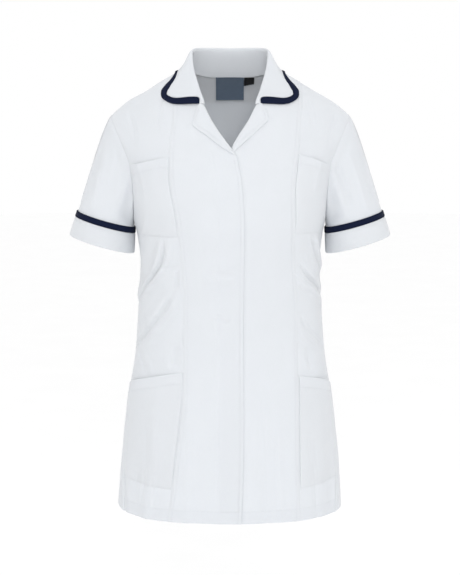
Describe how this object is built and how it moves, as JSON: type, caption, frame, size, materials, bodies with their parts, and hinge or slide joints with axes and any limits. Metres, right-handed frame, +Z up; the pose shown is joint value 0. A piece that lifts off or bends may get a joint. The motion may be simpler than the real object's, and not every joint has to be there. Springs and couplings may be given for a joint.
{
  "type": "medical tunic",
  "caption": "Short-sleeved medical tunic with a notched collar and lapels, hidden front zip, princess seams, patch pockets and turned-back cuffs with dark bands, filled out as worn.",
  "frame": {"origin": "on the middle plane, level with the neck points, where the wearer's shoulders hold the garment up", "axes": "+Z up along the body, -Y out of the front, +X towards the wearer's left"},
  "size_m": [0.526, 0.2654, 0.755],
  "materials": {
    "white_cloth": "matt woven",
    "navy_binding": "matt woven",
    "slate_label": "woven satin",
    "black_tag": "woven satin",
    "white_zip": "knitted tape with moulded coil"
  },
  "bodies": {
    "root": {"back": "white_cloth", "front_right": "white_cloth", "front_left": "white_cloth", "side_front_right": "white_cloth", "side_front_left": "white_cloth", "sleeve_right": "white_cloth", "sleeve_left": "white_cloth", "cuff_right": "white_cloth", "cuff_left": "white_cloth", "collar": "white_cloth", "lapel_right": "white_cloth", "lapel_left": "white_cloth", "breast_pocket_right": "white_cloth", "breast_pocket_left": "white_cloth", "hip_pocket_right": "white_cloth", "hip_pocket_left": "white_cloth", "collar_band": "navy_binding", "cuff_band_right": "navy_binding", "cuff_band_left": "navy_binding", "neck_label": "slate_label", "size_tag": "black_tag", "zip_tape_right": "white_zip", "zip_tape_left": "white_zip", "zip_chain": "white_zip", "zip_slider": "white_zip"}
  },
  "joints": []
}
